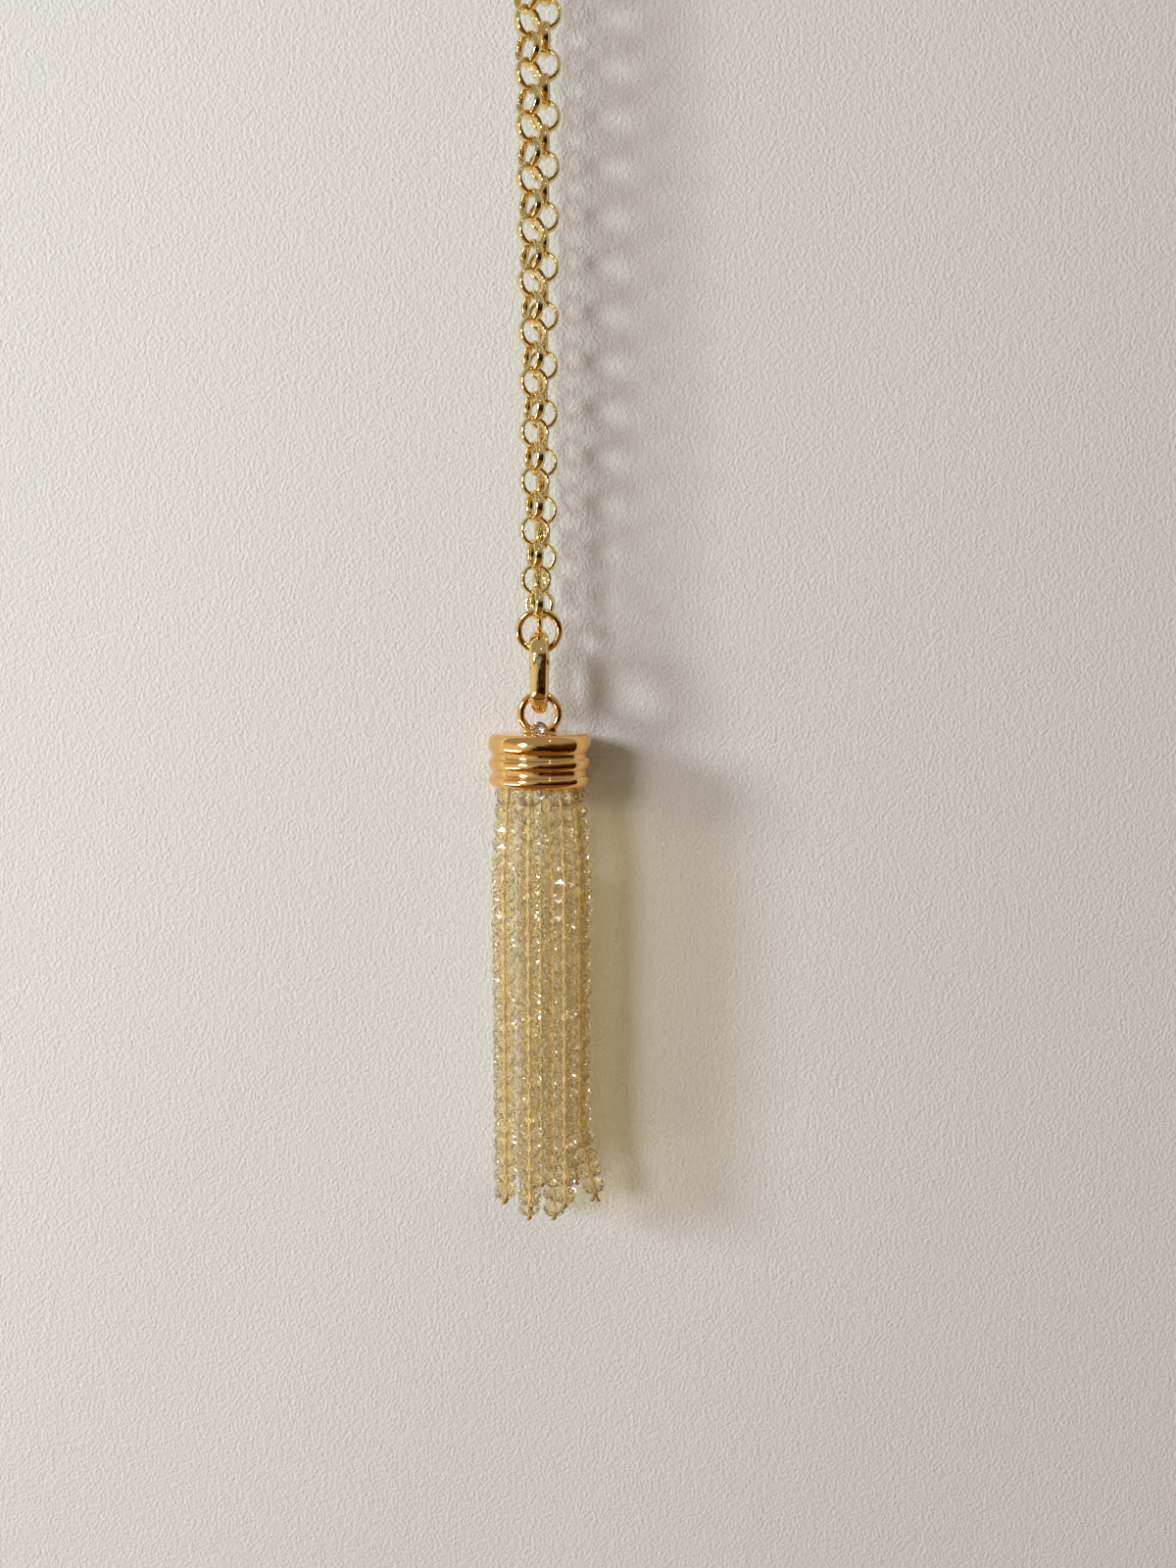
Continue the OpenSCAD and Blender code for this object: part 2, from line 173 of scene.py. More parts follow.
def linear(hex_colour):
    """An sRGB hex colour as linear RGBA."""
    out = []
    for i in (1, 3, 5):
        c = int(hex_colour[i:i + 2], 16) / 255
        out.append(c / 12.92 if c <= 0.04045 else ((c + 0.055) / 1.055) ** 2.4)
    return (*out, 1.0)


def add(tree, kind, inputs=None, **settings):
    """Adds a node with its settings; inputs maps a socket to a value or to another socket."""
    node = tree.nodes.new(kind)
    for name, value in settings.items():
        setattr(node, name, value)
    for key, value in (inputs or {}).items():
        if isinstance(value, bpy.types.NodeSocket):
            tree.links.new(value, node.inputs[key])
        else:
            node.inputs[key].default_value = value
    return node


# Camera

# The photograph's view, in millimetres and degrees: a wide lens close by, tipped downwards
CAMERA_LENS = 27.07
CAMERA_SENSOR = 36
CAMERA_AT = (7, -171, -349.107)
CAMERA_TIP = 5.9

camera_data = bpy.data.cameras.new("camera")
camera_data.lens = CAMERA_LENS
camera_data.sensor_width = CAMERA_SENSOR
camera_data.clip_start = 0.005
camera_data.clip_end = 50
camera = bpy.data.objects.new("camera", camera_data)
camera.location = [x * MM for x in CAMERA_AT]
camera.rotation_euler = (math.radians(90 - CAMERA_TIP), 0, 0)
bpy.context.scene.collection.objects.link(camera)
bpy.context.scene.camera = camera


# Materials

# Sockets of a colour Mix node
MIX_SHARE = 0
MIX_LOW = 6
MIX_HIGH = 7
MIX_RESULT = 2


def new_material(name):
    """A material with its tree, its Principled shader and the object's own coordinates."""
    material = bpy.data.materials.new(name)
    material.use_nodes = True
    tree = material.node_tree
    shader = tree.nodes["Principled BSDF"]
    place = add(tree, "ShaderNodeTexCoord").outputs["Object"]
    return material, tree, shader, place


def polished_plate(name, colour, tint, roughness, wave_mm, wave_height_mm):
    """Gold plate over brass, buffed: a clear mirror whose soft waves break up what it shows."""
    material, tree, shader, place = new_material(name)
    shader.inputs["Metallic"].default_value = 1.0
    patches = add(tree, "ShaderNodeTexNoise", {
        "Vector": place, "Scale": 1 / (2.2 * wave_mm * MM), "Detail": 3.0})
    mixed = add(tree, "ShaderNodeMix", {
        MIX_SHARE: patches.outputs["Fac"], MIX_LOW: linear(colour), MIX_HIGH: linear(tint)},
        data_type="RGBA")
    tree.links.new(mixed.outputs[MIX_RESULT], shader.inputs["Base Color"])
    rough = add(tree, "ShaderNodeMapRange", {
        "Value": patches.outputs["Fac"], "From Min": 0.3, "From Max": 0.7,
        "To Min": roughness * 0.7, "To Max": roughness * 1.4})
    tree.links.new(rough.outputs["Result"], shader.inputs["Roughness"])
    waves = add(tree, "ShaderNodeTexNoise", {
        "Vector": place, "Scale": 1 / (wave_mm * MM), "Detail": 1.0})
    bump = add(tree, "ShaderNodeBump", {
        "Height": waves.outputs["Fac"], "Strength": 1.0, "Distance": wave_height_mm * MM})
    tree.links.new(bump.outputs["Normal"], shader.inputs["Normal"])
    return material


# Polished gold plate, lemon pale: the clasp and ring flash cream and dark brown
gold_plate = polished_plate("polished_gold_plate", "#FAE0A0", "#F0CC84", 0.06, 1.5, 0.09)
# Rosier gold plate of the cap: its ribs mirror each other deep orange
cap_plate = polished_plate("rosy_gold_plate", "#FCD28A", "#F3BA6A", 0.07, 2.4, 0.1)
# Tumbled gold plate, paler than the cap: the links glint lemon yellow
chain_plate = polished_plate("tumbled_gold_plate", "#F9E4A6", "#ECD088", 0.08, 1.5, 0.05)


def cut_glass():
    """Fire polished champagne glass: clear, faintly golden, with bright facets that flash."""
    material, tree, shader, place = new_material("champagne_glass")
    shader.inputs["Transmission Weight"].default_value = 0.95
    shader.inputs["IOR"].default_value = 1.55
    tone = add(tree, "ShaderNodeTexNoise", {
        "Vector": place, "Scale": 1 / (6 * MM), "Detail": 2.0})
    colour = add(tree, "ShaderNodeMix", {
        MIX_SHARE: tone.outputs["Fac"], MIX_LOW: linear("#FEF6DC"),
        MIX_HIGH: linear("#F5E9C6")}, data_type="RGBA")
    tree.links.new(colour.outputs[MIX_RESULT], shader.inputs["Base Color"])
    shader.inputs["Roughness"].default_value = 0.0
    let_lamps_through(tree, shader, "#D8D0BC")
    return material


def let_lamps_through(tree, shader, tint):
    """Glass that lamps shine through, tinted, so that what lies behind it is lit."""
    lamp = add(tree, "ShaderNodeLightPath").outputs["Is Shadow Ray"]
    clear = add(tree, "ShaderNodeBsdfTransparent", {"Color": linear(tint)})
    both = add(tree, "ShaderNodeMixShader", {
        0: lamp, 1: shader.outputs[0], 2: clear.outputs[0]})
    tree.links.new(both.outputs[0], tree.nodes["Material Output"].inputs["Surface"])


def silk_thread():
    """Twisted golden silk: two plies with a soft gleam.

    Its fibres, a hundredth of a millimetre, are drawn as patches of 0.7 mm so that they show.
    The patches' pale ends are also painted highlights and their dark ends painted shade of the
    twist.
    """
    material, tree, shader, place = new_material("golden_silk_thread")
    shader.inputs["Roughness"].default_value = 0.3
    shader.inputs["Sheen Weight"].default_value = 0.3
    fibre_tone_and_glints = add(tree, "ShaderNodeTexNoise", {
        "Vector": place, "Scale": 1 / (0.7 * MM), "Detail": 2.0})
    # Pale patches are partly painted highlights and dark ones partly painted shade, over the fibres'
    # tone
    colour = add(tree, "ShaderNodeMix", {
        MIX_SHARE: fibre_tone_and_glints.outputs["Fac"], MIX_LOW: linear("#FFE8AC"),
        MIX_HIGH: linear("#8A5610")}, data_type="RGBA")
    tree.links.new(colour.outputs[MIX_RESULT], shader.inputs["Base Color"])
    bump = add(tree, "ShaderNodeBump", {
        "Height": fibre_tone_and_glints.outputs["Fac"], "Strength": 0.9, "Distance": 0.1 * MM})
    tree.links.new(bump.outputs["Normal"], shader.inputs["Normal"])
    return material


def glued_silk():
    """Silk knots dark with glue: olive gold and matt."""
    material, tree, shader, place = new_material("glued_silk_knot")
    shader.inputs["Roughness"].default_value = 0.5
    grain = add(tree, "ShaderNodeTexNoise", {
        "Vector": place, "Scale": 1 / (0.4 * MM), "Detail": 2.0})
    colour = add(tree, "ShaderNodeMix", {
        MIX_SHARE: grain.outputs["Fac"], MIX_LOW: linear("#B8921F"),
        MIX_HIGH: linear("#7A6014")}, data_type="RGBA")
    tree.links.new(colour.outputs[MIX_RESULT], shader.inputs["Base Color"])
    bump = add(tree, "ShaderNodeBump", {
        "Height": grain.outputs["Fac"], "Strength": 0.8, "Distance": 0.08 * MM})
    tree.links.new(bump.outputs["Normal"], shader.inputs["Normal"])
    return material


def brilliant_stone():
    """Cut zirconia: colourless with hard sparkles, its facets flat."""
    material, tree, shader, place = new_material("cut_zirconia")
    shader.inputs["Transmission Weight"].default_value = 1.0
    shader.inputs["IOR"].default_value = 2.1
    tone = add(tree, "ShaderNodeTexNoise", {"Vector": place, "Scale": 1 / (0.6 * MM)})
    rough = add(tree, "ShaderNodeMapRange", {
        "Value": tone.outputs["Fac"], "To Min": 0.0, "To Max": 0.03})
    tree.links.new(rough.outputs["Result"], shader.inputs["Roughness"])
    shader.inputs["Base Color"].default_value = linear("#FDF6E8")
    return material


def plaster():
    """Painted plaster of the backdrop: matt and pale, with the roller's fine orange peel.

    From behind it is clear, so that the necklace's back can be looked at.
    """
    material, tree, shader, place = new_material("painted_plaster")
    shader.inputs["Base Color"].default_value = linear("#DFD9C9")
    shader.inputs["Roughness"].default_value = 0.75
    grain = add(tree, "ShaderNodeTexNoise", {
        "Vector": place, "Scale": 1 / (0.5 * MM), "Detail": 2.0, "Roughness": 0.6})
    bump = add(tree, "ShaderNodeBump", {
        "Height": grain.outputs["Fac"], "Strength": 1.0, "Distance": 0.19 * MM})
    tree.links.new(bump.outputs["Normal"], shader.inputs["Normal"])
    back = add(tree, "ShaderNodeNewGeometry").outputs["Backfacing"]
    clear = add(tree, "ShaderNodeBsdfTransparent")
    seen = add(tree, "ShaderNodeMixShader", {0: back, 1: shader.outputs[0], 2: clear.outputs[0]})
    tree.links.new(seen.outputs[0], tree.nodes["Material Output"].inputs["Surface"])
    return material


champagne_glass = cut_glass()
golden_silk = silk_thread()
glued_knot = glued_silk()
zirconia = brilliant_stone()
painted_plaster = plaster()


# Meshes

def join(*parts):
    """Several (vertices, faces) as one."""
    verts, faces = [], []
    for v, f in parts:
        start = len(verts)
        verts.extend(v)
        faces.extend([[i + start for i in face] for face in f])
    return verts, faces


def moved(part, turn=(0, 0, 0), to=(0, 0, 0)):
    """A part turned by degrees about x, then y, then z, and moved."""
    matrix = Euler([math.radians(a) for a in turn]).to_matrix()
    return [matrix @ Vector(v) + Vector(to) for v in part[0]], part[1]


def lathe(profile, steps):
    """A closed outline of (radius, height) turned round the z axis."""
    count = len(profile)
    verts = [
        (r * math.cos(2 * math.pi * k / steps), r * math.sin(2 * math.pi * k / steps), z)
        for k in range(steps) for r, z in profile
    ]
    faces = []
    for k in range(steps):
        here, there = k * count, (k + 1) % steps * count
        for j in range(count):
            n = (j + 1) % count
            faces.append([here + j, there + j, there + n, here + n])
    return verts, faces


def torus(mid_r, wire, steps, sides):
    """A round ring about the z axis."""
    return lathe([
        (mid_r + wire / 2 * math.cos(2 * math.pi * k / sides),
         wire / 2 * math.sin(2 * math.pi * k / sides))
        for k in range(sides)
    ], steps)


def skin(rings):
    """A tube through rings of points; its last two faces fill its ends."""
    sides = len(rings[0])
    verts = [v for ring in rings for v in ring]
    last = len(rings) - 1
    faces = [
        [j * sides + k, j * sides + (k + 1) % sides,
         (j + 1) * sides + (k + 1) % sides, (j + 1) * sides + k]
        for j in range(last) for k in range(sides)
    ]
    faces.append(list(range(sides))[::-1])
    faces.append([last * sides + k for k in range(sides)])
    return verts, faces


def tube(rings):
    """A tube through rings, open at its ends."""
    verts, faces = skin(rings)
    return verts, faces[:-2]


def disc(ring):
    """A flat end."""
    return ring, [list(range(len(ring)))]


def new_piece(name, part, material, body, slot, *nodes, sharp=None):
    """A finished piece from a part in millimetres, for the CAD nodes that it stands for."""
    verts, faces = part
    mesh = bpy.data.meshes.new(name)
    mesh.from_pydata([Vector(v) * MM for v in verts], [], faces)
    finish_mesh(mesh, material, sharp)
    place_piece(name, mesh, body, slot, *nodes)


def finish_mesh(mesh, material, sharp):
    """Merges doubles and turns the faces outwards.

    Edges past sharp degrees stay crisp: 0 makes every face flat, and None makes all smooth.
    """
    bm = bmesh.new()
    bm.from_mesh(mesh)
    bmesh.ops.remove_doubles(bm, verts=bm.verts, dist=1e-7)
    bmesh.ops.dissolve_degenerate(bm, edges=bm.edges, dist=1e-8)
    bmesh.ops.recalc_face_normals(bm, faces=bm.faces)
    for face in bm.faces:
        face.smooth = sharp != 0
    if sharp:
        for edge in bm.edges:
            if len(edge.link_faces) == 2:
                edge.smooth = edge.calc_face_angle(0) < math.radians(sharp)
    bm.to_mesh(mesh)
    bm.free()
    mesh.materials.clear()
    mesh.materials.append(material)


def place_piece(name, mesh, body, slot, *nodes):
    """Puts a mesh in the scene on its body, for the CAD nodes that it stands for."""
    piece = bpy.data.objects.new(name, mesh)
    bpy.context.scene.collection.objects.link(piece)
    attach(piece, body)
    if nodes:
        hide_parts(*nodes)


# Geometry nodes: one shape repeated on places

def places_mesh(name, places):
    """Points that carry a turn and a size each, for the shape that is repeated on them."""
    mesh = bpy.data.meshes.new(name)
    mesh.from_pydata([Vector(at) * MM for at, turn, size in places], [], [])
    turns = mesh.attributes.new("turn", "FLOAT_VECTOR", "POINT")
    sizes = mesh.attributes.new("size", "FLOAT_VECTOR", "POINT")
    for i, (at, turn, size) in enumerate(places):
        turns.data[i].vector = turn
        sizes.data[i].vector = size
    return mesh


def tree_with(name, inputs):
    """A geometry tree with its named inputs: rows of name, kind, default."""
    tree = bpy.data.node_groups.new(name, "GeometryNodeTree")
    tree.interface.new_socket("Geometry", in_out="OUTPUT", socket_type="NodeSocketGeometry")
    tree.interface.new_socket("Places", in_out="INPUT", socket_type="NodeSocketGeometry")
    for title, kind, value in inputs:
        socket = tree.interface.new_socket(title, in_out="INPUT", socket_type=kind)
        if value is not None:
            socket.default_value = value
    return tree, add(tree, "NodeGroupInput"), add(tree, "NodeGroupOutput")


def repeat_on_places(tree, entry, leave, shape, smooth):
    """Ends a tree: the shape on every place, turned and sized by its attributes, made real."""
    turn = add(tree, "GeometryNodeInputNamedAttribute", {"Name": "turn"},
               data_type="FLOAT_VECTOR")
    size = add(tree, "GeometryNodeInputNamedAttribute", {"Name": "size"},
               data_type="FLOAT_VECTOR")
    spin = add(tree, "FunctionNodeEulerToRotation", {0: turn.outputs["Attribute"]})
    set_out = add(tree, "GeometryNodeInstanceOnPoints", {
        "Points": entry.outputs["Places"], "Instance": shape,
        "Rotation": spin.outputs[0], "Scale": size.outputs["Attribute"]})
    real = add(tree, "GeometryNodeRealizeInstances", {"Geometry": set_out.outputs[0]})
    shade = add(tree, "GeometryNodeSetShadeSmooth", {
        "Geometry": real.outputs[0], "Shade Smooth": smooth})
    coat = add(tree, "GeometryNodeSetMaterial", {
        "Geometry": shade.outputs[0], "Material": entry.outputs["Material"]})
    tree.links.new(coat.outputs[0], leave.inputs["Geometry"])


def grown(name, tree, places, values):
    """Runs a tree on the places with its inputs set, and gives the plain mesh."""
    carrier = bpy.data.objects.new(name, places_mesh(name, places))
    bpy.context.scene.collection.objects.link(carrier)
    modifier = carrier.modifiers.new("grow", "NODES")
    modifier.node_group = tree
    for item in tree.interface.items_tree:
        if item.item_type == "SOCKET" and item.in_out == "INPUT" and item.name in values:
            modifier[item.identifier] = values[item.name]
    graph = bpy.context.evaluated_depsgraph_get()
    mesh = bpy.data.meshes.new_from_object(carrier.evaluated_get(graph), depsgraph=graph)
    mesh.name = name
    bpy.data.objects.remove(carrier)
    for extra in ("turn", "size"):
        if extra in mesh.attributes:
            mesh.attributes.remove(mesh.attributes[extra])
    return mesh


# The section's corners start this far round, so that two of its sides are level
SECTION_TURN = math.radians(30)


def link_tree():
    """A round link: an oval section swept round a circle."""
    tree, entry, leave = tree_with("hang_links", [
        ("Link Radius", "NodeSocketFloat", 0.002), ("Wall", "NodeSocketFloat", 0.0004),
        ("Band", "NodeSocketFloat", 0.0013), ("Round Steps", "NodeSocketInt", 16),
        ("Section Steps", "NodeSocketInt", 6), ("Material", "NodeSocketMaterial", None)])
    path = add(tree, "GeometryNodeCurvePrimitiveCircle", {
        "Resolution": entry.outputs["Round Steps"], "Radius": entry.outputs["Link Radius"]},
        mode="RADIUS")
    section = add(tree, "GeometryNodeCurvePrimitiveCircle", {
        "Resolution": entry.outputs["Section Steps"], "Radius": 0.5}, mode="RADIUS")
    oval = add(tree, "ShaderNodeCombineXYZ", {
        "X": entry.outputs["Wall"], "Y": entry.outputs["Band"], "Z": 1.0})
    turned = add(tree, "GeometryNodeTransform", {
        "Geometry": section.outputs["Curve"], "Rotation": (0, 0, SECTION_TURN)})
    sized = add(tree, "GeometryNodeTransform", {
        "Geometry": turned.outputs[0], "Scale": oval.outputs[0]})
    ring = add(tree, "GeometryNodeCurveToMesh", {
        "Curve": path.outputs["Curve"], "Profile Curve": sized.outputs[0]})
    repeat_on_places(tree, entry, leave, ring.outputs[0], True)
    return tree


# Chain

def chain_point(s):
    """The middle of the chain at the distance s from the front run's last link."""
    if s < run_length:
        return Vector((lookup(s, FRONT_ROUTE, SIDEWAYS), lookup(s, FRONT_ROUTE, DEPTH),
                       end_z + s))
    if s < run_length + arc_length:
        turn = (s - run_length) / TOP_RADIUS
        return Vector((-TOP_RADIUS * math.cos(turn), 0,
                       end_z + run_length + TOP_RADIUS * math.sin(turn)))
    up = chain_length - s
    return Vector((lookup(up, BACK_ROUTE, SIDEWAYS), lookup(up, BACK_ROUTE, DEPTH), end_z + up))


def link_place(i):
    """Where link i hangs, turned a quarter from its neighbours."""
    s = i * pitch
    along = chain_point(s + pitch / 2) - chain_point(s - pitch / 2)
    lean = math.atan2(along.x, along.z)
    tip = -math.asin(along.y / along.length)
    roll = math.radians((90 if i % 2 == 0 else 0) + lookup(s, TWIST))
    matrix = (Matrix.Rotation(lean, 3, "Y") @ Matrix.Rotation(tip, 3, "X")
              @ Matrix.Rotation(roll, 3, "Z") @ Matrix.Rotation(math.radians(90), 3, "X"))
    return chain_point(s), matrix.to_euler(), (1, 1, 1)


# The rounded wall is drawn thicker than the flat band of the source, towards the hole
LINK_SWELL = 1.38
link_wall = LINK_SWELL * LINK_WALL
links = link_tree()
for name, first, last in (("chain_front", 0, LINK_COUNT // 2),
                          ("chain_back", LINK_COUNT // 2, LINK_COUNT)):
    run = grown(name + "_links", links, [link_place(i) for i in range(first, last)], {
        "Link Radius": (LINK_OD - link_wall) / 2 * MM,
        "Wall": link_wall / math.cos(SECTION_TURN) * MM,
        "Band": LINK_BAND * MM, "Material": chain_plate})
    place_piece(name + "_links", run, "root", "gold_chain", name)


# Ring and clasp

end_ring = moved(torus(ring_mid_r, RING_WIRE, 72, 20), (90 + RING_LEAN, 0, 0),
                 (0, ring_y, ring_z))
new_piece("open_ring", end_ring, gold_plate, "root", "polished_gold", "end_ring")

CLASP_SIDES = 28
# Below 1 the clasp's oval section is a little fuller at its corners
CLASP_FULLNESS = 0.92
# How much wider than its middle the clasp is at a radius above it
CLASP_TAPER = 0.065
# Degrees from the clasp's back over its top to the hinge
HINGE_BEARING = 150
# Rows of [height over the hinge pin, dip of the front face], down to the pin
HINGE_DIPS = [(1.35, 0), (1.05, 0.02), (0.8, 0.05), (0.5, 0.06), (0.2, 0.05)]
# Height and width of the bevelled edge of the pin's head
PIN_RIM = 0.15
PIN_BEVEL = 0.2
clasp_r = CLASP_DEPTH / 2
hinge_y = -clasp_mid_r + HINGE_INSET
hinge_z = clasp_half - HINGE_DROP
ear_r = clasp_r + hinge_y - GATE_GAP / 2


def clasp_edge():
    """Round the clasp's full oval section: shares of its half thickness and half width."""
    points = []
    for k in range(CLASP_SIDES):
        a = 2 * math.pi * (k + 0.5) / CLASP_SIDES
        points.append([math.copysign(abs(x) ** CLASP_FULLNESS, x)
                       for x in (math.cos(a), math.sin(a))])
    return points


def half_width(z):
    """Half the clasp's width at the height z over its middle, a little wider at the top."""
    return CLASP_WIDTH / 2 * (1 + CLASP_TAPER * z / clasp_r)


def oval_ring(angle, side):
    """The section across the band on the upper or lower arc, degrees from the back."""
    a = math.radians(angle)
    ring = []
    for t, x in clasp_edge():
        r = clasp_mid_r + CLASP_WALL / 2 * t
        z = side * clasp_half + r * math.sin(a)
        ring.append((x * half_width(z), r * math.cos(a), z))
    return ring


def front_ring(z, outer, inner):
    """A level section across the front bar, from its outer face to its inner one."""
    mid, half = (outer + inner) / 2, (inner - outer) / 2
    return [(x * half_width(z), mid - half * t, z) for t, x in clasp_edge()]


def around_hinge(y, radius):
    """Half the height of a circle about the hinge at the depth y."""
    return math.sqrt(max(radius ** 2 - (y - hinge_y) ** 2, 0))


def hinge_end(ring, cheek, middle, slot):
    """A bar's end at the hinge: cheeks at its sides, and a slot or tongue between them.

    cheek and middle give their heights at a depth, and slot is half the middle's width.
    """
    rows = []
    for k in range(CLASP_SIDES // 2):
        x, y, z = ring[k]
        w = min(slot, x)
        low = cheek(y) if x > slot else middle(y)
        rows.append([(x, y, low), (w, y, low), (w, y, middle(y)),
                     (-w, y, middle(y)), (-w, y, low), (-x, y, low)])
    columns = 6
    verts = [v for row in rows for v in row]
    faces = [
        [columns * k + j, columns * k + j + 1, columns * (k + 1) + j + 1, columns * (k + 1) + j]
        for k in range(len(rows) - 1) for j in range(columns - 1)
    ]
    first = len(verts)
    verts += [ring[0], ring[-1], ring[CLASP_SIDES // 2 - 1], ring[CLASP_SIDES // 2]]
    last = columns * (len(rows) - 1)
    faces += [[first, first + 1, 5, 4, 3, 2, 1, 0],
              [first + 2, first + 3, last + 5, last + 4, last + 3, last + 2, last + 1, last]]
    for k in range(len(rows) - 1):
        for here, there, column in ((k, k + 1, 0), (-1 - k, -2 - k, columns - 1)):
            verts += [ring[here], ring[there]]
            faces.append([len(verts) - 2, len(verts) - 1,
                          columns * (k + 1) + column, columns * k + column])
    return verts, faces


def clasp_frame():
    """The oval band from the gate's tip round the back to the hinge's cheeks, with pin and eye."""
    tip = 180 + GATE_TIP_ANGLE + math.degrees(GATE_GAP / clasp_mid_r)
    rings = [oval_ring(tip + (360 - tip) * k / 16, -1) for k in range(17)]
    rings += [oval_ring(HINGE_BEARING * k / 16, 1) for k in range(17)]

    def cheek(y):
        return hinge_z - around_hinge(y, ear_r)

    def slot(y):
        return hinge_z + around_hinge(y, ear_r + 1.2 * GATE_GAP)

    half_slot = TONGUE_T / 2 + GATE_GAP
    for over_hinge, dip in HINGE_DIPS:
        z = hinge_z + over_hinge
        over = max(z - clasp_half, 0)
        ring = front_ring(z, -math.sqrt(clasp_r ** 2 - over ** 2) + dip,
                          -math.sqrt((clasp_r - CLASP_WALL) ** 2 - over ** 2))
        rings.append([(x, y, max(z, slot(y)) if abs(x) <= half_slot else z)
                      for x, y, z in ring])
    band = join(disc(rings[0]), tube(rings), hinge_end(rings[-1], cheek, slot, half_slot))
    side = half_width(0)
    pin = moved(lathe([(0, -side), (PIN_D / 2, -side), (PIN_D / 2, side), (PIN_HEAD_D / 2, side),
                       (PIN_HEAD_D / 2, side + PIN_RIM),
                       (PIN_HEAD_D / 2 - PIN_BEVEL, side + PIN_HEAD_H),
                       (0, side + PIN_HEAD_H)], 24),
                (0, 90, 0), (0, hinge_y, hinge_z))
    eye_mid_r = (EYE_HOLE + EYE_WIRE) / 2
    eye_z = end_z - link_ri + EYE_PLAY + EYE_WIRE / 2 - eye_mid_r - clasp_z
    eye = moved(torus(eye_mid_r, EYE_WIRE, 48, 16), (0, 90, 0), (0, BACK_ROUTE[0][DEPTH], eye_z))
    return moved(join(band, pin, eye), to=(0, 0, clasp_z))


def clasp_gate_bar():
    """The gate: the front bar with its tongue on the pin and its tip on the lower arc."""
    tip = 180 + GATE_TIP_ANGLE
    rings = [oval_ring(tip - GATE_TIP_ANGLE * k / 6, -1) for k in range(7)]
    inner = -(clasp_r - CLASP_WALL)
    below_hinge = hinge_z - ear_r - GATE_GAP - 0.1
    rings += [front_ring(z, -clasp_r, inner)
              for z in (-0.8 * clasp_half, -0.3 * clasp_half, below_hinge)]

    def shoulder(y):
        return hinge_z - around_hinge(y, ear_r + 0.5 * GATE_GAP)

    def tongue(y):
        return hinge_z + around_hinge(y, ear_r)

    bar = join(disc(rings[0]), tube(rings),
               hinge_end(rings[-1], shoulder, tongue, TONGUE_T / 2))
    return moved(bar, to=(0, 0, clasp_z))


new_piece("clasp_frame", clasp_frame(), gold_plate, "root", "polished_gold", "clasp_body",
          sharp=40)
new_piece("clasp_gate_bar", clasp_gate_bar(), gold_plate, "gate", "polished_gold",
          "clasp_gate", sharp=40)


# Cap

# How far down a rib its cove ends, and how far the cove has come out of the groove there
COVE_END = 0.34
COVE_OUT = 0.42
# How far down the upper, middle and lowest rib are at their widest
UPPER_CREST = 0.6
MIDDLE_CREST = 0.66
LOWEST_CREST = 0.6
# Bevel inside the cap's lower edge
LIP_BEVEL = 0.1
# Facets of a quarter round
BEND_STEPS = 12


def bend(start, end, level_first):
    """A quarter round between two (radius, height) points, level or upright at its start."""
    points = []
    for k in range(1, BEND_STEPS + 1):
        a = math.pi / 2 * k / BEND_STEPS
        out, down = 1 - math.cos(a), math.sin(a)
        if level_first:
            out, down = math.sin(a), 1 - math.cos(a)
        points.append((start[0] + (end[0] - start[0]) * out,
                       start[1] + (end[1] - start[1]) * down))
    return points


def rib(top, height, groove_r, end_r, crest):
    """Down one rib: a hollow cove, a round bead and its lower edge."""
    shelf = (groove_r + COVE_OUT * GROOVE_DEPTH, top - COVE_END * height)
    widest = (CAP_OD / 2, top - crest * height)
    return (bend((groove_r, top), shelf, False) + bend(shelf, widest, True)
            + bend(widest, (end_r, top - height), False))


def cap_shell():
    """The ribbed bell with its hollow, from the middle of the top round to the middle inside."""
    groove_r = CAP_OD / 2 - GROOVE_DEPTH
    mouth_r = MOUTH_D / 2
    lip = -cap_height + LAST_RIB_HEIGHT / 2
    groove_1, groove_2 = -FIRST_RIB_HEIGHT, -FIRST_RIB_HEIGHT - RIB_HEIGHT
    shoulder = (CAP_OD / 2, UPPER_CREST * groove_1)
    outline = [(0, 0), (CAP_FLAT_D / 2, 0)]
    outline += bend(outline[-1], shoulder, True) + bend(shoulder, (groove_r, groove_1), False)
    outline += rib(groove_1, RIB_HEIGHT, groove_r, groove_r, MIDDLE_CREST)
    outline += rib(groove_2, LAST_RIB_HEIGHT, groove_r, mouth_r + CAP_WALL, LOWEST_CREST)
    outline += [
        (mouth_r + LIP_BEVEL, -cap_height), (mouth_r, -cap_height + LIP_BEVEL), (mouth_r, lip),
        (groove_r - CAP_WALL, lip), (groove_r - CAP_WALL, -CAP_TOP_T), (0, -CAP_TOP_T),
    ]
    return moved(lathe(outline, 128), to=(0, 0, cap_top_z))


# Degrees by which the stone looks up
STONE_TILT = 35
# Its place before the loop and above the cap, and its depth in its cup, as shares of its width
STONE_OUT = 0.43
STONE_UP = 0.47
STONE_SET = 0.03
# Depths of the cup and of its bore, as shares of the stone's width
CUP_DEPTH = 0.62
BORE_DEPTH = 0.45
# Width and height of the bevel on the cup's lip
LIP_WIDTH = 0.05
LIP_HEIGHT = 0.08

collet_r = STONE_D / 2 + STONE_GAP + COLLET_WALL
stone_at = (0, -(LOOP_WIRE / 2 + STONE_OUT * STONE_D), cap_top_z + STONE_UP * STONE_D)


def collet():
    """The stone's setting, a small cup with a bevelled lip, tilted to the front and up."""
    bore = STONE_D / 2 + STONE_GAP
    depth = CUP_DEPTH * STONE_D
    floor = -(BORE_DEPTH * STONE_D + 2 * STONE_GAP)
    cup = lathe([
        (0, -depth), (collet_r, -depth), (collet_r, -LIP_HEIGHT), (collet_r - LIP_WIDTH, 0),
        (bore, 0), (bore, floor), (0, floor)], 32)
    return moved(cup, (90 - STONE_TILT, 0, 0), stone_at)


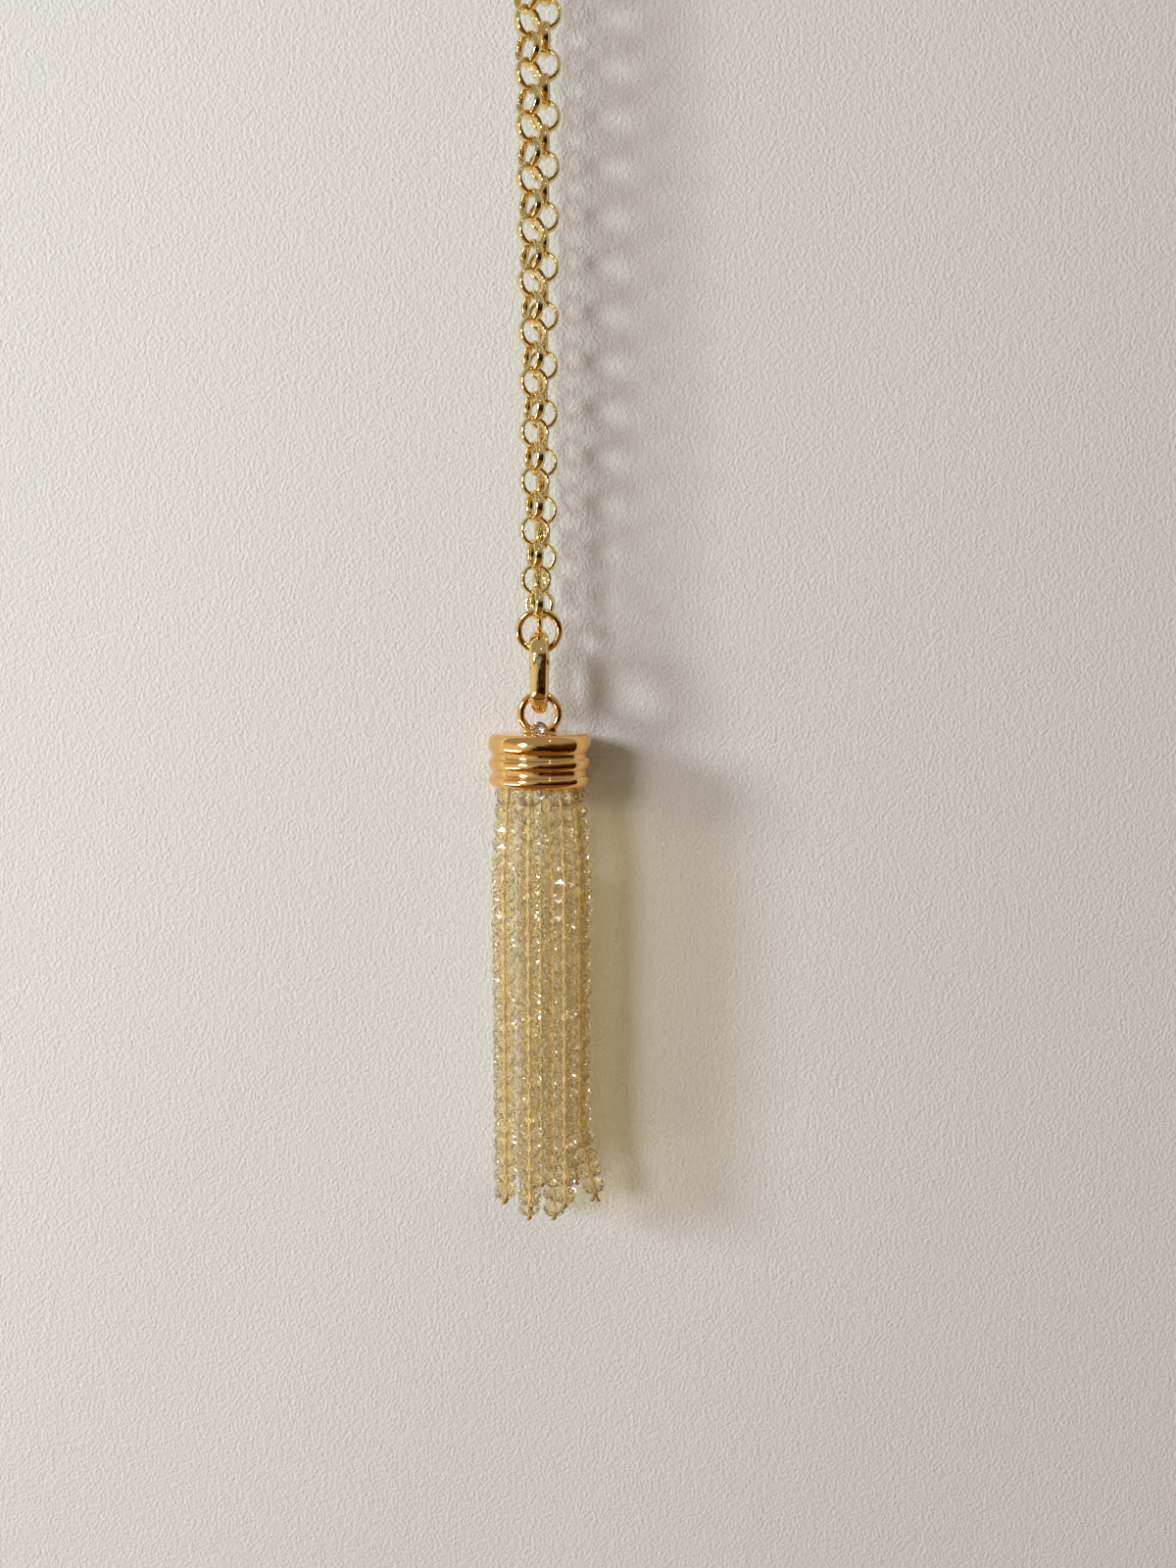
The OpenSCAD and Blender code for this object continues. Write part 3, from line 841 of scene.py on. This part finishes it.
# Levels of the foot over the cap
FOOT_LEVELS = (-0.1, 0.02, 0.1, 0.25, 0.45, 0.65, FOOT_HEIGHT)
# How far the solder runs out where the foot meets the cap, sideways and in depth, and its height
SOLDER_WIDE = 0.12
SOLDER_DEEP = 0.1
SOLDER_HEIGHT = 0.08
# The foot's upright edges: how far their round reaches, and the setback of its middle
CORNER = 0.3
SETBACK = 0.09
# How far the foot's ends reach into the loop's wire
FUSE = 0.01


def foot():
    """The saddle that spreads the loop onto the cap, its upright ends under the wire."""
    ends = []
    for side in (-1, 1):
        levels = []
        for h in FOOT_LEVELS:
            half = FOOT_WIDTH / 2 + SOLDER_WIDE * math.exp(-h / SOLDER_HEIGHT)
            deep = LOOP_WIRE / 2 + SOLDER_DEEP * math.exp(-h / SOLDER_HEIGHT)
            low = loop_z - cap_top_z - h
            inner = math.sqrt(max(loop_mid_r ** 2 - low ** 2, 0)) - FUSE
            levels.append([
                (side * x, y, cap_top_z + h) for x, y in (
                    (inner, -deep), (half - CORNER, -deep), (half - SETBACK, -deep + SETBACK),
                    (half, -deep + CORNER), (half, deep - CORNER),
                    (half - SETBACK, deep - SETBACK), (half - CORNER, deep), (inner, deep))])
        ends.append(skin(levels))
    return join(*ends)


def loop():
    """The round loop by which the cap hangs on the clasp."""
    return moved(torus(loop_mid_r, LOOP_WIRE, 72, 20), (90, 0, 0), (0, 0, loop_z))


new_piece("ribbed_cap", join(cap_shell(), loop(), foot(), collet()), cap_plate, "pendant",
          "polished_gold", "cap", sharp=50)


def brilliant():
    """A round stone with a table, two rows of crown facets, a girdle and a pavilion."""
    # Rows of [share of the radius, height as a share of the width, turn in facets]
    rows = [
        (0.06, -0.4, 0), (0.55, -0.2, 0.5), (1, -0.015, 0), (1, 0.015, 0), (0.8, 0.1, 0.5),
        (0.56, 0.15, 0),
    ]
    facets = 8
    radius = STONE_D / 2
    rings = [[
        (radius * share * math.cos(2 * math.pi * (k + turn) / facets),
         radius * share * math.sin(2 * math.pi * (k + turn) / facets), STONE_D * height)
        for k in range(facets)] for share, height, turn in rows]
    verts, faces = skin(rings)
    flat = []
    for face in faces:
        flat += [face] if len(face) != 4 else [face[:3], [face[0], face[2], face[3]]]
    seated = moved((verts, flat), to=(0, 0, -STONE_SET * STONE_D))
    return moved(seated, (90 - STONE_TILT, 0, 0), stone_at)


new_piece("cut_stone", brilliant(), zirconia, "pendant", "clear_stone", "stone", sharp=0)


# Tassel

# Gap between neighbouring beads, and the share of its place that a bead fills
BEAD_GAP = 0.1
BEAD_FILL = 0.985
# Least and greatest height and width of a bead, beside the usual one
BEAD_HEIGHTS = (0.92, 1.08)
BEAD_WIDTHS = (0.98, 1.03)
# How far a bead rocks on its thread, in radians
BEAD_ROCK = 0.03
# The thread's direction at a bead is taken between points this far above and below it
BEAD_REACH = 0.4
# Radius of a ply of silk, the length of one twist of the two, and the step along the thread
PLY = 0.095
TWIST_LENGTH = 2.2
THREAD_STEP = 0.2
# Reach of the thread's section across the two plies and what it gains along them, in plies
PLY_WAIST = 1.15
PLY_SWELL = 0.85
# How unevenly a thread lies, and how far it runs on into the head and the knot
THREAD_WANDER = 0.03
THREAD_END = 0.3
# Turns of silk round the bound head, their radius, and how deep the head's core lies in them
WINDS = 20
WIND_R = 0.12
WIND_DEPTH = 0.3
# Height of the head's end over the cap's lower edge. The head is drawn down this far partly to
# put a dark backing behind the first beads, standing in for the rim's shade on them
HEAD_LIFT = 0.5


def strand_radius(strand, depth):
    """Distance of a strand from the axis at a depth below its first bead's top."""
    length = strand.beads * BEAD_PITCH
    flare_start = length - strand.flare * BEAD_PITCH - 1e-6
    return MOUTH_D / 2 * lookup(depth, [
        (0, strand.mouth), (strand.spread * BEAD_PITCH, strand.hang),
        (flare_start, strand.hang), (length, strand.end)])


def strand_point(strand, depth):
    """The thread's place at a depth below the strand's first bead's top."""
    a = math.radians(strand.angle)
    r = strand_radius(strand, depth)
    return Vector((r * math.sin(a), -r * math.cos(a),
                   first_bead_z - strand.level * BEAD_PITCH - depth))


def bead_tree():
    """A faceted bead on every place."""
    tree, entry, leave = tree_with("string_beads", [
        ("Bead", "NodeSocketObject", None), ("Material", "NodeSocketMaterial", None)])
    bead = add(tree, "GeometryNodeObjectInfo", {"Object": entry.outputs["Bead"]})
    repeat_on_places(tree, entry, leave, bead.outputs["Geometry"], False)
    return tree


def bead_shape():
    """A cut rondelle: bands of staggered facets between its two drilled ends."""
    # Rows of [share of the radius, share of half the height, turn in facets]
    rows = [(0.5, 1, 0), (0.87, 0.62, 0.5), (1, 0, 0), (0.87, -0.62, 0.5), (0.5, -1, 0)]
    sides = 8
    radius = BEAD_D / 2
    half_height = (BEAD_PITCH - BEAD_GAP) / 2
    verts = [
        (radius * share * math.cos(2 * math.pi * (k + turn) / sides),
         radius * share * math.sin(2 * math.pi * (k + turn) / sides), half_height * level)
        for share, level, turn in rows for k in range(sides)
    ]
    faces = []
    for j in range(len(rows) - 1):
        here, below = j * sides, (j + 1) * sides
        for k in range(sides):
            n = (k + 1) % sides
            if rows[j][2] > rows[j + 1][2]:
                faces += [[here + k, below + k, below + n], [here + k, below + n, here + n]]
            else:
                faces += [[here + k, below + k, here + n], [here + n, below + k, below + n]]
    faces.append(list(range(sides)))
    faces.append([(len(rows) - 1) * sides + k for k in range(sides)][::-1])
    return verts, faces


def bead_places(strand):
    """Where a strand's beads sit, each a little higher, wider or more tilted than the next."""
    heights = [rng.uniform(*BEAD_HEIGHTS) for k in range(strand.beads)]
    places = []
    depth = 0
    for share in heights:
        height = share * BEAD_PITCH * strand.beads / sum(heights)
        depth += height / 2
        down = strand_point(strand, depth + BEAD_REACH) - strand_point(strand, depth - BEAD_REACH)
        tilt = down.to_track_quat("Z", "Y").to_matrix()
        spin = Matrix.Rotation(rng.uniform(0, 2 * math.pi), 3, "Z")
        rock = Euler((rng.gauss(0, BEAD_ROCK), rng.gauss(0, BEAD_ROCK), 0)).to_matrix()
        wide = rng.uniform(*BEAD_WIDTHS)
        places.append((strand_point(strand, depth), (tilt @ rock @ spin).to_euler(),
                       (wide, wide, BEAD_FILL * height / BEAD_PITCH)))
        depth += height / 2
    return places


bead_mesh = bpy.data.meshes.new("bead")
bead_verts, bead_faces = bead_shape()
bead_mesh.from_pydata([Vector(v) * MM for v in bead_verts], [], bead_faces)
finish_mesh(bead_mesh, champagne_glass, 0)
bead_object = bpy.data.objects.new("bead", bead_mesh)

rng = random.Random(RNG_SEED)
beads = grown("bead_strands", bead_tree(),
              [place for strand in STRANDS for place in bead_places(strand)],
              {"Bead": bead_object, "Material": champagne_glass})
bpy.data.objects.remove(bead_object)
place_piece("bead_strands", beads, "pendant", "glass_beads", "bead_tassel")


def thread(strand):
    """A strand's silk, two plies twisted round each other from the head to the knot."""
    top = head_bottom - (first_bead_z - strand.level * BEAD_PITCH) + THREAD_END
    length = strand.beads * BEAD_PITCH + THREAD_END + top
    rings = []
    for j in range(int(length / THREAD_STEP) + 1):
        middle = strand_point(strand, j * THREAD_STEP - top) + Vector(
            (wander.gauss(0, THREAD_WANDER), wander.gauss(0, THREAD_WANDER), 0))
        twist = 2 * math.pi * j * THREAD_STEP / TWIST_LENGTH
        ring = []
        for k in range(8):
            a = 2 * math.pi * k / 8
            reach = PLY * (PLY_WAIST + PLY_SWELL * abs(math.cos(a)))
            ring.append((middle.x + reach * math.cos(a + twist),
                         middle.y + reach * math.sin(a + twist), middle.z))
        rings.append(ring)
    return skin(rings)


def lump(radius, squash, at, turn):
    """A round lump of glued silk with flattened poles."""
    rows, sides = 6, 10
    rings = []
    for j in range(1, rows):
        a = math.pi * j / rows
        rings.append([
            (radius * math.sin(a) * math.cos(2 * math.pi * k / sides),
             radius * math.sin(a) * math.sin(2 * math.pi * k / sides),
             -radius * squash * math.cos(a)) for k in range(sides)])
    return moved(skin(rings), turn, at)


def tail(at, lean_x, lean_y, length):
    """A cut end of thread, fraying wider on its way down."""
    start_r, end_r, levels, sides = 0.18, 0.34, 4, 6
    rings = []
    for j in range(levels + 1):
        t = j / levels
        r = start_r + (end_r - start_r) * t
        rings.append([
            (at[0] + lean_x * t + r * math.cos(2 * math.pi * k / sides),
             at[1] + lean_y * t + r * math.sin(2 * math.pi * k / sides),
             at[2] - length * t) for k in range(sides)])
    return skin(rings)


def knot(strand, n):
    """Two lumps and a short tail under a strand, with two longer tails where it flares."""
    end = strand_point(strand, strand.beads * BEAD_PITCH)
    parts = [
        lump(0.4, 0.8, end + Vector((0, 0, -0.22)), (20 * n, 13 * n, 0)),
        lump(0.28, 0.9, end + Vector((0.1, 0.08, -0.5)), (31 * n, 7 * n, 0)),
        tail(end + Vector((0, 0, -0.45)), wander.uniform(-0.35, 0.35), 0.1, 0.35),
    ]
    if strand.flare:
        parts.append(tail(end + Vector((-0.05, 0, -0.45)), -0.4, 0.1, 0.85))
        parts.append(tail(end + Vector((0.05, 0, -0.45)), 0.45, -0.1, 0.8))
    return join(*parts)


wander = random.Random(RNG_SEED + 1)
threads, knots = [], []
for n, strand in enumerate(STRANDS):
    threads.append(thread(strand))
    knots.append(knot(strand, n))
new_piece("silk_threads", join(*threads), golden_silk, "pendant", "glass_beads")
new_piece("silk_knots", join(*knots), glued_knot, "pendant", "glass_beads")


def bound_head():
    """The strands' tops wound with silk, from the top of the cap's hollow down to its mouth."""
    # Down near the mouth the wound head is partly a dark backing that stands in for the rim's shade
    # on the first beads
    r = MOUTH_D / 2 - HEAD_GAP
    bottom = cap_bottom_z + HEAD_LIFT
    half = (head_top - bottom) / WINDS / 2
    outline = [(0, head_top), (r - WIND_DEPTH, head_top)]
    for k in range(WINDS):
        z = head_top - half * (2 * k + 1)
        for a in (-60, -20, 20, 60):
            outline.append((r - WIND_R + WIND_R * math.cos(math.radians(a)),
                            z - half * math.sin(math.radians(a)) / math.sin(math.radians(62))))
    outline += [(r - WIND_DEPTH, bottom), (0, bottom)]
    return lathe(outline, 64)


new_piece("bound_head", bound_head(), glued_knot, "pendant", "glass_beads", sharp=50)


# Backdrop and light, in metres

# The wall just behind the hindmost beads, its half width, and its lower and upper edge
WALL_Y = 0.0076
WALL_HALF = 1.5
WALL_LOW = -1.9
WALL_HIGH = 1.1

wall_mesh = bpy.data.meshes.new("backdrop")
wall_mesh.from_pydata([
    (-WALL_HALF, WALL_Y, WALL_LOW), (WALL_HALF, WALL_Y, WALL_LOW),
    (WALL_HALF, WALL_Y, WALL_HIGH), (-WALL_HALF, WALL_Y, WALL_HIGH)], [], [(0, 1, 2, 3)])
wall_mesh.materials.append(painted_plaster)
wall = bpy.data.objects.new("backdrop", wall_mesh)
bpy.context.scene.collection.objects.link(wall)

# Rows of [name, degrees to the right of the front, degrees up, distance, width, height, watts,
# colour], as seen from the middle of the tassel
TASSEL = (0, 0, -0.385)
LAMPS = [
    ("far_pane", -64, 15.5, 0.8, 0.15, 0.22, 5.1, "#E0ECFF"),
    ("near_pane", -37, 14, 0.8, 0.18, 0.18, 2.5, "#E6EEFF"),
    ("bright_sill", -64, -22, 0.95, 0.75, 0.14, 2.1, "#F6F8FF"),
    ("ceiling_lamps", 28, 42, 1.1, 0.05, 0.05, 0.25, "#FFE9C8"),
]


def hang_lamp(name, bearing, up, distance, width, height, watts, colour):
    """A soft oval area light that shines at the tassel."""
    light = bpy.data.lights.new(name, "AREA")
    light.shape = "ELLIPSE"
    light.size, light.size_y = width, height
    light.energy = watts
    light.color = linear(colour)[:3]
    lamp = bpy.data.objects.new(name, light)
    a, e = math.radians(bearing), math.radians(up)
    away = Vector((math.sin(a) * math.cos(e), -math.cos(a) * math.cos(e), math.sin(e)))
    lamp.location = Vector(TASSEL) + away * distance
    lamp.rotation_euler = away.to_track_quat("Z", "Y").to_euler()
    bpy.context.scene.collection.objects.link(lamp)
    return lamp


lamps = {row[0]: hang_lamp(*row) for row in LAMPS}
# The metal mirrors one pane alone
lamps["far_pane"].visible_glossy = False


def room():
    """The light of the room: pale from above and the left, brown and dark from the other sides."""
    world = bpy.data.worlds.new("room")
    bpy.context.scene.world = world
    world.use_nodes = True
    tree = world.node_tree
    way = add(tree, "ShaderNodeTexCoord").outputs["Generated"]
    parts = add(tree, "ShaderNodeSeparateXYZ", {0: way}).outputs
    right, up = parts["X"], parts["Z"]
    uneven = add(tree, "ShaderNodeTexNoise", {
        "Vector": way, "Scale": 5.0, "Detail": 4.0, "Roughness": 0.6}).outputs["Fac"]
    # Distance of a direction from the one straight ahead of the necklace
    ahead = add(tree, "ShaderNodeVectorMath", {0: way, 1: (0.12, -0.98, -0.12)},
                operation="DISTANCE").outputs["Value"]

    def past(value, waver, start, end):
        """How far a value lies past a soft, wavering edge."""
        wavy = add(tree, "ShaderNodeMath", {0: uneven, 1: waver, 2: value},
                   operation="MULTIPLY_ADD").outputs[0]
        return add(tree, "ShaderNodeMapRange", {
            "Value": wavy, "From Min": start, "From Max": end},
            interpolation_type="SMOOTHSTEP").outputs["Result"]

    # A dark band below the eye and to the right
    band = past(up, 0.5, 0.19, 0.12)
    for share in (past(up, 0.5, -0.25, -0.15), past(right, 0.6, -0.3, 0.2)):
        band = add(tree, "ShaderNodeMath", {0: band, 1: share}, operation="MULTIPLY").outputs[0]
    tone = linear("#4C3010")
    # Rows of [where a tone lies, the tone], each over the ones before; the camera sees the last
    for where, colour in (
            (past(right, 0.8, 0.9, -0.4), "#FFF8EC"),
            (past(up, 0.3, 0.25, 0.55), "#B4B1AE"),
            (past(up, 0.4, -0.1, -0.3), "#956A34"),
            (band, "#24160B"),
            (past(ahead, 0.5, 0.55, 0.4), "#2C1B0E"),
            (add(tree, "ShaderNodeLightPath").outputs["Is Camera Ray"], "#E6E1D8")):
        tone = add(tree, "ShaderNodeMix", {
            MIX_SHARE: where, MIX_LOW: tone, MIX_HIGH: linear(colour)},
            data_type="RGBA").outputs[MIX_RESULT]
    back = tree.nodes["Background"]
    tree.links.new(tone, back.inputs["Color"])
    back.inputs["Strength"].default_value = 0.75


room()
scene = bpy.context.scene
scene.view_settings.view_transform = "Standard"
scene.view_settings.look = "None"
scene.cycles.use_denoising = True
scene.cycles.max_bounces = 24
scene.cycles.transmission_bounces = 20
scene.cycles.glossy_bounces = 8
scene.cycles.transparent_max_bounces = 8
